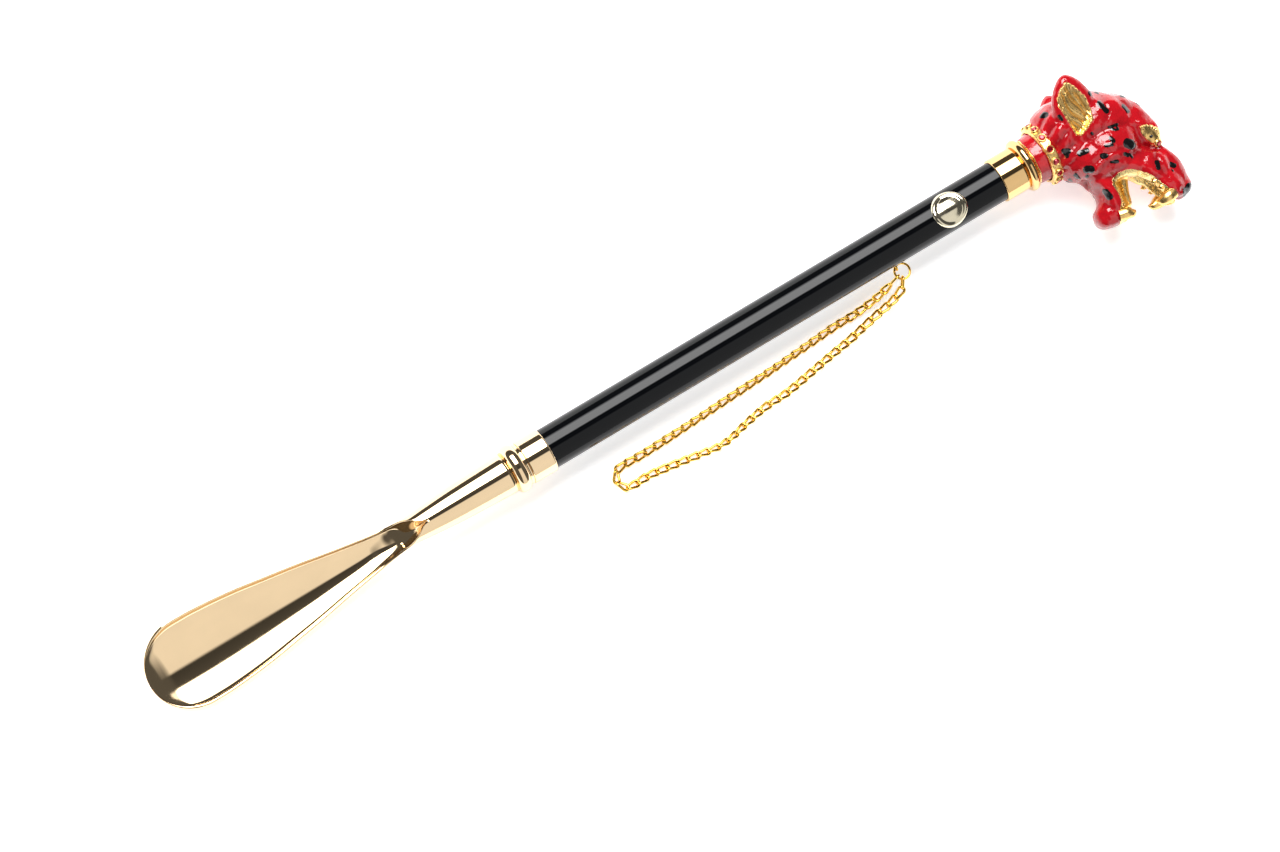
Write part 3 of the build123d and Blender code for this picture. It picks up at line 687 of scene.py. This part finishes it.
places, normals = coordinates(head_mesh)
side_pattern = on_side(places)
worked = np.zeros(len(places))
outer = np.clip((np.abs(places[:, 2]) - 2) / 3, 0, 1)
for depth, width, line in STROKES:
    worked += 0.6 * depth * np.exp(-(nearest_on(side_pattern, line)[1] / width) ** 2) * outer
worked += 0.22 * spread(places, 5.0) + 0.1 * spread(places, 2.2, 9.0)
ear_depth = np.where(
    places[:, 2] > 11, depth_inside(side_pattern, EAR_OPENING),
    np.where(places[:, 2] < -10, depth_inside(side_pattern, LEFT_OPENING), -5),
)
grown_back = 0.75 * np.clip((places[:, 1] - 11) / 4, 0, 1)
places += normals * (worked + grown_back)[:, None]
hollow = np.clip((ear_depth + 0.3) / 3.2, 0, 1)
places[:, 2] -= np.sign(places[:, 2]) * 2.6 * hollow * hollow * (3 - 2 * hollow)
spot_depth = np.full(len(places), -9.0)
for forward, up, length, width, turn in SPOTS:
    half = max(length - width, 0.01) / 2
    reach = (half * cos(radians(turn)), half * sin(radians(turn)))
    line = [(forward - reach[0], up - reach[1]), (forward + reach[0], up + reach[1])]
    within = width / 2 - nearest_on(side_pattern, line)[1]
    if forward < NOSE_FORWARD:  # a spot ends on the crown, and only the nose's goes over the middle
        for side in (1, -1):
            out = places[:, 2] * side
            furthest = np.max(out[within > 0], initial=0)
            across = length / 2 + 1.5 - (furthest - out)
            within = np.where(out > 0, np.minimum(within, across), within)
    spot_depth = np.maximum(spot_depth, within)
spot_depth += 0.3 * spread(places, 1.6, 4.0)
mouth_depth = depth_inside(places[:, :2], MOUTH) + 1.7 + 0.45 * spread(places, 1.4, 2.0)


def within_mass(places, forward, up, out, reach, tall, wide, tilt):
    """About how far places lie inside an ellipsoid, in millimetres."""
    local = (places - np.array([forward, up, out])) @ np.array(Matrix.Rotation(radians(tilt), 3, "Z"))
    return (1 - np.linalg.norm(local / np.array([reach, tall, wide]), axis=1)) * min(reach, tall, wide)


gold_depth = np.maximum(mouth_depth, within_mass(places, *PALATE) + 0.7)
gold_depth = np.maximum(gold_depth, within_mass(places, *JAW_HOLLOW) + 0.7)
gold_depth = np.maximum(gold_depth, 0.7 + 0.3 * spread(places, 2.0, 7.0) - places[:, 1])
spot_depth = np.minimum(spot_depth, -gold_depth)
drop = np.clip(spot_depth / 0.7, 0, 1)
head_mesh.vertices.foreach_set("co", (places + normals * (0.28 * drop * (2 - drop))[:, None]).ravel())
for name, values in (("gold_depth", gold_depth), ("spot_depth", spot_depth), ("worked", worked)):
    layer = head_mesh.attributes.new(name, "FLOAT", "POINT")
    layer.data.foreach_set("value", np.ascontiguousarray(values, dtype=np.float32))
head_mesh.update()
bm = bmesh.new()
bm.from_mesh(head_mesh)
head_tree = BVHTree.FromBMesh(bm)
TO_FRAME = Matrix(((0, MM, 0, HEAD_X), (-MM, 0, 0, AXIS_Y), (0, 0, MM, AXIS_Z), (0, 0, 0, 1)))
bm.transform(TO_FRAME)
bpy.data.meshes.remove(head_mesh)

# The enamel pools deep red in the hollows and thins to a brighter red on the ridges. The bare metal
# round the mouth is duller and grained by the chasing.
ENAMEL_BLACK = "#0A0A0B"
enamel, shader = new_material("red_enamel_over_gold")
place = add_node(enamel, "TexCoord").outputs["Object"]
gold_edge = add_node(enamel, "Attribute", attribute_name="gold_depth").outputs["Fac"]
spot_edge = add_node(enamel, "Attribute", attribute_name="spot_depth").outputs["Fac"]
thin = add_node(enamel, "Attribute", attribute_name="worked").outputs["Fac"]
clouds = add_node(enamel, "TexNoise", {"Vector": place, "Scale": 1 / (6 * MM), "Detail": 3.0})
pooled = add_node(enamel, "Math", {0: thin, 1: clouds.outputs["Fac"]}, operation="ADD")
pool = add_node(enamel, "MapRange", {"Value": pooled.outputs[0], "From Min": -0.3, "From Max": 1.3})
red = add_node(
    enamel, "Mix", {"Factor": pool.outputs["Result"], "A": linear("#920814"), "B": linear("#BE0F1A")},
    data_type="RGBA",
)
blackened = add_node(enamel, "MapRange", {"Value": spot_edge, "From Min": -0.08, "From Max": 0.08})
spotted = add_node(
    enamel, "Mix",
    {"Factor": blackened.outputs["Result"], "A": red.outputs["Result"], "B": linear(ENAMEL_BLACK)},
    data_type="RGBA",
)
bare = add_node(enamel, "MapRange", {"Value": gold_edge, "From Min": -0.06, "From Max": 0.06})
coloured = add_node(
    enamel, "Mix",
    {"Factor": bare.outputs["Result"], "A": spotted.outputs["Result"], "B": linear("#F8DC98")},
    data_type="RGBA",
)
waves = add_node(enamel, "TexNoise", {"Vector": place, "Scale": 1 / (2.2 * MM), "Detail": 3.0})
grains = add_node(enamel, "TexNoise", {"Vector": place, "Scale": 1 / (0.7 * MM), "Detail": 2.0})
grain = add_node(enamel, "Math", {0: grains.outputs["Fac"], 1: bare.outputs["Result"]}, operation="MULTIPLY")
relief = add_node(enamel, "Math", {0: waves.outputs["Fac"], 1: grain.outputs[0]}, operation="ADD")
bump = add_node(enamel, "Bump", {"Height": relief.outputs[0], "Distance": 0.26 * MM})
gloss = add_node(enamel, "MapRange", {"Value": bare.outputs["Result"], "To Min": 0.06, "To Max": 0.2})
fill_sockets(shader, {
    "Base Color": coloured.outputs["Result"], "Metallic": bare.outputs["Result"],
    "Roughness": gloss.outputs["Result"], "Normal": bump.outputs["Normal"], "IOR": 1.6,
})
piece("head_casting", bm, enamel, replaced=["leopard_head"])

# Ear linings and eye surrounds: the casting's bare plated gold, chased into locks of hair in the
# ears, and into lashes round the eyes. Each is a thin sheet whose edge dips under the enamel.
cast_gold = plated(
    "cast_gold_plate", "#FBD084", 0.24, 2 * MM, haze=0.1, dents=0.04 * MM, dent_size=1.2 * MM
)


def inlay(name, outline, relief, side, spacing=0.22):
    """A gold sheet on one side of the head inside an outline, with a relief in millimetres."""
    lows, highs = np.min(outline, axis=0) - 1, np.max(outline, axis=0) + 1
    columns, rows = (int(length / spacing) + 1 for length in highs - lows)
    size = highs - lows
    grid = np.array([
        (lows[0] + size[0] * column / (columns - 1), lows[1] + size[1] * row / (rows - 1))
        for row in range(rows) for column in range(columns)
    ])
    ragged = 0.35 * spread([(forward, up, 0) for forward, up in grid], 1.3, 5.0)
    depth = depth_inside(grid, outline) + ragged
    raised = relief(grid, depth)
    inward = Vector((0, VIEW_LEAN, -side)).normalized()
    spots, kept = [], []
    for (forward, up), inside, height in zip(grid, depth, raised):
        start = Vector((forward, up - VIEW_LEAN * 30, side * 30))
        hit = head_tree.ray_cast(start, inward)[0]
        kept.append(hit is not None and inside > -0.7)
        edge = min(max((inside + 0.5) / 1.0, 0), 1)
        spots.append((hit or start) - inward * (height * edge - 0.5 * (1 - edge)))
    bm = bmesh.new()
    verts = grid_sheet(bm, rows, columns, lambda row, column: spots[row * columns + column])
    bm.verts.ensure_lookup_table()
    lost = [vert for vert in bm.verts if not kept[vert.index]]
    bmesh.ops.delete(bm, geom=lost, context="VERTS")
    bm.transform(TO_FRAME)
    return piece(name, bm, cast_gold)


def hair_locks(grid, depth):
    """Long wavy locks running down the ear from its point."""
    down = (grid[:, 0] + 22) / 24
    across = (grid[:, 1] - 24.5) / 12.5
    wander = spread([(forward * 0.5, up, 0) for forward, up in grid], 5.0, 1.0)
    bend = 0.8 * np.sin(down * 3.6 + 0.4) + 0.5 * wander
    locks = np.abs(np.sin(pi * (across * 4.2 + bend)))
    strands = np.abs(np.sin(pi * (across * 11 + 2.4 * bend)))
    bowl = np.clip(depth / 3.5, 0, 1)
    return 0.5 + 1.2 * locks ** 0.8 * bowl + 0.3 * strands


def lashes(grid, depth):
    """A low rounded eyeball with a lower lid, and a fringe of lashes behind and above it."""
    forward, up = grid[:, 0] - 18.8, grid[:, 1] - 55.0
    ball = np.maximum(1 - (forward / 4.4) ** 2 - (up / 2.6) ** 2, 0)
    lid = np.exp(-((np.hypot(forward / 4.4, up / 2.6) - 1.12) / 0.14) ** 2)
    fringe = np.clip((np.hypot(forward / 4.6, up / 2.9) - 1.1) * 3, 0, 1)
    rays = np.abs(np.sin(np.arctan2(up, forward) * 12 + 0.5 * np.hypot(forward, up)))
    behind = np.clip((up - 0.8 * forward - 1.0) / 1.5, 0, 1)
    return 0.25 + 0.55 * np.sqrt(ball) + 0.35 * lid + 0.6 * fringe * rays * behind


for side, label in ((1, "right"), (-1, "left")):
    inlay(f"ear_lining_{label}", EAR_OPENING if side == 1 else LEFT_OPENING, hair_locks, side)
    inlay(f"eye_{label}", EYE, lashes, side, spacing=0.16)

# Teeth, tongue and throat: cast with the head and left as bare gold. Four fangs are bent and round,
# the small teeth are pegs, and the tongue is a grooved strap that comes up out of the throat.
def rod(bm, line, widths, rings=10, sides=20):
    """A round rod bent through the places on a line, its half widths given from end to end."""
    knots = list(np.linspace(0, 1, len(line)))

    def at(share):
        return Vector([through(list(zip(knots, ordinates)), share) for ordinates in zip(*line)])

    def place(row, column):
        share = row / (rings - 1)
        forward = (at(min(share + 0.02, 1)) - at(max(share - 0.02, 0))).normalized()
        side = forward.cross(Vector((0, 0, 1))).normalized()
        up = side.cross(forward)
        turn = 2 * pi * column / sides
        width = through(list(zip(np.linspace(0, 1, len(widths)), widths)), share)
        return at(share) + (side * cos(turn) + up * sin(turn)) * width

    grid_sheet(bm, rings, sides + 1, place)


FANGS = [  # the places along each, and its half widths from root to point
    ([(44.6, 49.6, 7.4), (45.2, 46, 7.8), (45.5, 43.2, 7.4), (44.4, 40.2, 6.8)], [2.9, 3.1, 2.7, 1.9, 0.05]),
    ([(41.2, 22.4, 6.4), (42.2, 26.2, 6.8), (43.2, 28.4, 6.6), (42.9, 30.6, 6)], [2.7, 2.9, 2.5, 1.7, 0.05]),
]
UPPER_TEETH = [(48.0, 47.6, 1.4, 1.6), (47.6, 47.4, 3.8, 1.8), (39.8, 45.0, 8.2, 1.2), (36.2, 43.2, 8.6, 1.2)]
LOWER_TEETH = [(43.6, 24.2, 1.2, 1.5), (43.4, 24.4, 3.3, 1.6), (37.6, 26.8, 7.2, 1.0)]
bm = bmesh.new()
for side in (1, -1):
    for line, widths in FANGS:
        rod(bm, [(forward, up, out * side) for forward, up, out in line], widths, rings=20)
    for row_of_teeth, way, back, widths in (
        (UPPER_TEETH, -1, 0.4, [1.3, 1.2, 0.8, 0.05]), (LOWER_TEETH, 1, 0.3, [1.2, 1.1, 0.7, 0.05]),
    ):
        for forward, up, out, tall in row_of_teeth:
            line = [(0, -1.6 * way), (0, 0), (-back, tall * way)]
            rod(bm, [(forward + x, up + y, out * side) for x, y in line], widths, rings=9, sides=12)


def tongue_place(row, column):
    """The tongue's surface: a thick strap with a groove down its middle, curling at its end."""
    share = row / 39
    middle = Vector((
        through([(0, 24.0), (0.25, 28.6), (0.6, 34.5), (0.85, 39.0), (1, 41.0)], share),
        through([(0, 35.5), (0.25, 33.2), (0.6, 31.0), (0.85, 30.2), (1, 29.6)], share), 0,
    ))
    wide = through([(0, 6.6), (0.25, 5.8), (0.6, 5.0), (0.85, 4.2), (0.97, 2.2), (1, 0.05)], share)
    thick = through([(0, 5.0), (0.25, 3.0), (0.6, 2.5), (0.85, 1.9), (0.97, 0.9), (1, 0.05)], share)
    turn = 2 * pi * column / 48
    groove = 0.9 * np.exp(-((turn - pi / 2) / 0.35) ** 2) * min(1, (1 - share) * 5) if thick > 0.5 else 0
    rise = Vector((0.25 * sin(turn), sin(turn), 0)) * (thick - groove)
    return middle + rise + Vector((0, 0, cos(turn) * wide))


grid_sheet(bm, 40, 49, tongue_place)
mass(bm, 25.5, 36.2, 0, 4.4, 7.2, 8.6, 12)
bm.transform(TO_FRAME)
piece("teeth_and_tongue", bm, cast_gold)

# Pupils: a small raised drop of the same black enamel as the spots, fired in the middle of each eye.
# It stands proud of the gold and shines.
black_enamel, shader = new_material("black_enamel")
place = add_node(black_enamel, "TexCoord").outputs["Object"]
waves = add_node(black_enamel, "TexNoise", {"Vector": place, "Scale": 1 / (1.5 * MM)})
bump = add_node(black_enamel, "Bump", {"Height": waves.outputs["Fac"], "Distance": 0.05 * MM})
fill_sockets(
    shader, {"Base Color": linear(ENAMEL_BLACK), "Roughness": 0.07, "Normal": bump.outputs["Normal"]}
)
bm = bmesh.new()
for side in (1, -1):
    inward = Vector((0, VIEW_LEAN, -side)).normalized()
    seat = head_tree.ray_cast(Vector((18.2, 54.9 - VIEW_LEAN * 30, side * 30)), inward)[0]
    mass(bm, *(seat - inward * 0.9), 0.8, 0.8, 0.8, 0)
bm.transform(TO_FRAME)
piece("pupils", bm, black_enamel)


# Collar: a raised gold band cast round the neck, its edges ragged against the enamel, with a
# turned cup soldered on under each stone. The stones are red glass, cut with twelve sides.
def spun_on(bm, placed, profile, steps=28):
    """Spin (radius, height) points about an axis given by a matrix."""
    verts = [bm.verts.new(placed @ Vector((radius, 0, height))) for radius, height in profile]
    edges = [bm.edges.new(pair) for pair in zip(verts, verts[1:])]
    axis = placed.to_3x3() @ Vector((0, 0, 1))
    bmesh.ops.spin(
        bm, geom=edges, cent=placed.translation, axis=axis, angle=2 * pi, steps=steps, use_merge=True
    )


def facing(place, outward):
    """A matrix at a place whose Z points outward."""
    return Matrix.Translation(place) @ outward.to_track_quat("Z", "Y").to_matrix().to_4x4()


STONE_RADIUS = 1.5
stone_glass, shader = new_material("red_crystal")
place = add_node(stone_glass, "TexCoord").outputs["Object"]
depths = add_node(stone_glass, "TexNoise", {"Vector": place, "Scale": 1 / (0.9 * MM)})
tint = add_node(
    stone_glass, "Mix", {"Factor": depths.outputs["Fac"], "A": linear("#6E0210"), "B": linear("#D01834")},
    data_type="RGBA",
)
fill_sockets(
    shader, {"Base Color": tint.outputs["Result"], "Metallic": 0.75, "Roughness": 0.03, "Coat Weight": 1.0}
)
CUP_PROFILE = [  # radius and height above the stone's girdle
    (2.05 * MM, -1.2 * MM), (2.05 * MM, 0.15 * MM), (1.9 * MM, 0.4 * MM), (1.6 * MM, 0.45 * MM),
    (1.45 * MM, 0.2 * MM), (1.4 * MM, -0.3 * MM),
]
cups = bmesh.new()
collar_names = [f"collar_crystal_{place:02d}" for place in range(1, 15)]
for name in collar_names + ["eye_crystal_right", "eye_crystal_left"]:
    low, high = (Vector(corner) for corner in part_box(name))
    middle = (low + high) / 2
    if name.startswith("collar"):
        outward = Vector((0, middle.y - AXIS_Y, middle.z - AXIS_Z)).normalized()
        seat = Vector((middle.x, AXIS_Y, AXIS_Z)) + outward * 14.35 * MM
    else:
        side = 1 if name.endswith("right") else -1
        outward = Vector((0.25, -0.75, 0.6 * side)).normalized()
        inward = Vector((0, VIEW_LEAN, -side)).normalized()
        found, normal, _, _ = head_tree.ray_cast(Vector((22.0, 56.2 - VIEW_LEAN * 30, side * 30)), inward)
        seat = TO_FRAME @ (found + normal * 0.7)
        outward = (Vector((normal.y, -normal.x, normal.z)) + outward).normalized()
    placed = facing(seat, outward)
    spun_on(cups, placed, CUP_PROFILE)
    stone = bmesh.new()
    girdle = bmesh.ops.create_circle(stone, segments=12, radius=STONE_RADIUS * MM, matrix=placed)["verts"]
    edges = list({edge for vert in girdle for edge in vert.link_edges})
    for rise, scale, turn in ((0.45, 0.78, 15), (0.3, 0.68, 15)):
        grown = bmesh.ops.extrude_edge_only(stone, edges=edges)["geom"]
        edges = [g for g in grown if isinstance(g, bmesh.types.BMEdge)]
        lifted = [g for g in grown if isinstance(g, bmesh.types.BMVert)]
        lift = Matrix.Translation((0, 0, rise * MM)) @ Matrix.Rotation(radians(turn), 4, "Z")
        shift = lift @ Matrix.Diagonal((scale, scale, 1, 1))
        bmesh.ops.transform(stone, matrix=placed @ shift @ placed.inverted(), verts=lifted)
    bmesh.ops.contextual_create(stone, geom=edges)
    bmesh.ops.triangulate(stone, faces=[face for face in stone.faces if len(face.verts) == 4])
    made = piece(name + "_stone", stone, stone_glass, replaced=[name])
    for face in made.data.polygons:
        face.use_smooth = False
piece("stone_cups", cups, cast_gold)

BAND_FOOT = HEAD_X + 5.8 * MM
bm = bmesh.new()


def band_place(row, column):
    """The collar band's surface, with both its edges wandering into the enamel."""
    turn = 2 * pi * column / 240
    round_it = Vector((0, cos(turn), sin(turn)))
    share = row / 23
    wander = noise.noise(round_it * 6) + 0.6 * noise.noise(round_it * 17)
    along_it = -0.2 + share * 5.3 + (0.8 * wander if share > 0.5 else 0.25 * wander)
    height = 13.1 + 0.75 * min(1, min(share, 1 - share) * 7) - (0.9 if share in (0, 1) else 0)
    height += 0.1 * noise.noise(Vector((along_it, turn * 9, 3))) * (1 if share > 0.6 else 0.3)
    return Vector((BAND_FOOT + along_it * MM, AXIS_Y, AXIS_Z)) + round_it * height * MM


grid_sheet(bm, 24, 241, band_place)
piece("collar_band", bm, cast_gold)

# Badge: a plain oval plate of pale plated metal, stamped with a raised rim and a domed middle, bent
# to the shaft and glued on.
champagne = plated(
    "champagne_gold_plate", "#E3D9BE", 0.09, 5 * MM, haze=0.08, dents=0.02 * MM, dent_size=2 * MM
)
badge_low, badge_high = (Vector(corner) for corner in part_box("shaft_badge"))
badge_middle = (badge_low + badge_high) / 2
BADGE_RELIEF = [
    (0, 0.62), (0.35, 0.58), (0.62, 0.36), (0.7, 0.3), (0.76, 0.55), (0.84, 0.75), (0.92, 0.6), (0.97, 0.3),
    (1, 0.0),
]
bm = bmesh.new()


def badge_place(row, column):
    """The badge's surface: rows run out from its middle and columns go round it."""
    share = row / 32
    turn = 2 * pi * column / 96
    reach_along = (badge_high.x - badge_low.x) / 2 * share * cos(turn)
    reach_round = (badge_high.y - badge_low.y) / 2 * share * sin(turn)
    bent = asin(max(-1, min(1, reach_round / (SHAFT_RADIUS * MM + 0.6 * MM))))
    radius = (SHAFT_RADIUS + through(BADGE_RELIEF, share)) * MM
    return Vector((badge_middle.x + reach_along, AXIS_Y + radius * sin(bent), AXIS_Z + radius * cos(bent)))


grid_sheet(bm, 33, 97, badge_place)
piece("badge_plate", bm, champagne, replaced=["shaft_badge"])

# Screw eye and jump ring: drawn wire, bent and plated like the chain. Studs: plain turned steel,
# hidden inside the ends of the shaft.
steel = plated("steel", "#B9B7B2", 0.3, 3 * MM, haze=0.15)
for name in ("screw_eye", "jump_ring"):
    finish_surface(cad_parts[name].data, chain_gold)
for name in ("blade_stud", "head_stud"):
    finish_surface(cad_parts[name].data, steel)

# Studio: a dark ceiling, one long softbox along the far side and pale walls, as a sky that turns
# about the shaft's line. Its brightness is set by the angle round from straight up.
SKY_STRENGTH = 13.0
SKY = [
    (-180, 0.075), (-96, 0.075), (-86, 0.006), (-60, 0.006), (-49, 0.9), (-15, 0.9), (-11, 0.006),
    (11, 0.004), (15, 0.072), (60, 0.074), (100, 0.07), (180, 0.075),
]
ENDS = [  # along the shaft: where each end wall starts and is whole, and its brightness
    (-0.26, -0.34, 0.008), (0.31, 0.37, 0.008), (-0.94, -0.98, 0.075), (0.93, 0.97, 0.075),
]
world = bpy.data.worlds.new("studio")
world.use_nodes = True
bpy.context.scene.world = world
direction = add_node(world, "SeparateXYZ", {"Vector": add_node(world, "TexCoord").outputs["Generated"]})
towards_front = add_node(world, "Math", {0: direction.outputs["Y"], 1: -1.0}, operation="MULTIPLY")
angle = add_node(world, "Math", {0: towards_front.outputs[0], 1: direction.outputs["Z"]}, operation="ARCTAN2")
share = add_node(world, "MapRange", {"Value": angle.outputs[0], "From Min": -pi, "From Max": pi})
ramp = add_node(world, "ValToRGB", {"Fac": share.outputs["Result"]})
stops = ramp.color_ramp.elements
while len(stops) < len(SKY):
    stops.new(0.5)
for stop, (degrees_round, _) in zip(stops, SKY):
    stop.position = (degrees_round + 180) / 360
for stop, (_, bright) in zip(stops, SKY):
    stop.color = (bright, bright, bright, 1)
sky_colour = ramp.outputs["Color"]
for starts, ends, bright in ENDS:
    share = add_node(
        world, "MapRange", {"Value": direction.outputs["X"], "From Min": starts, "From Max": ends}
    )
    walls = add_node(
        world, "Mix", {"Factor": share.outputs["Result"], "A": sky_colour, "B": [bright] * 3 + [1]},
        data_type="RGBA",
    )
    sky_colour = walls.outputs["Result"]
fill_sockets(world.node_tree.nodes["Background"], {"Color": sky_colour, "Strength": SKY_STRENGTH})
bpy.context.scene.view_settings.view_transform = "Standard"

# Floor: a plain pale sweep under the object, lit a little from within, so that shadows on it stay
# faint.
bm = bmesh.new()
bmesh.ops.create_grid(bm, x_segments=2, y_segments=2, size=6)
floor = placed_object("floor", meshed("floor", bm))
floor_paint, shader = new_material("pale_floor")
fill_sockets(shader, {
    "Base Color": linear("#F4F4F4"), "Roughness": 0.85, "Emission Color": linear("#FFFFFF"),
    "Emission Strength": 0.6,
})
floor.data.materials.append(floor_paint)
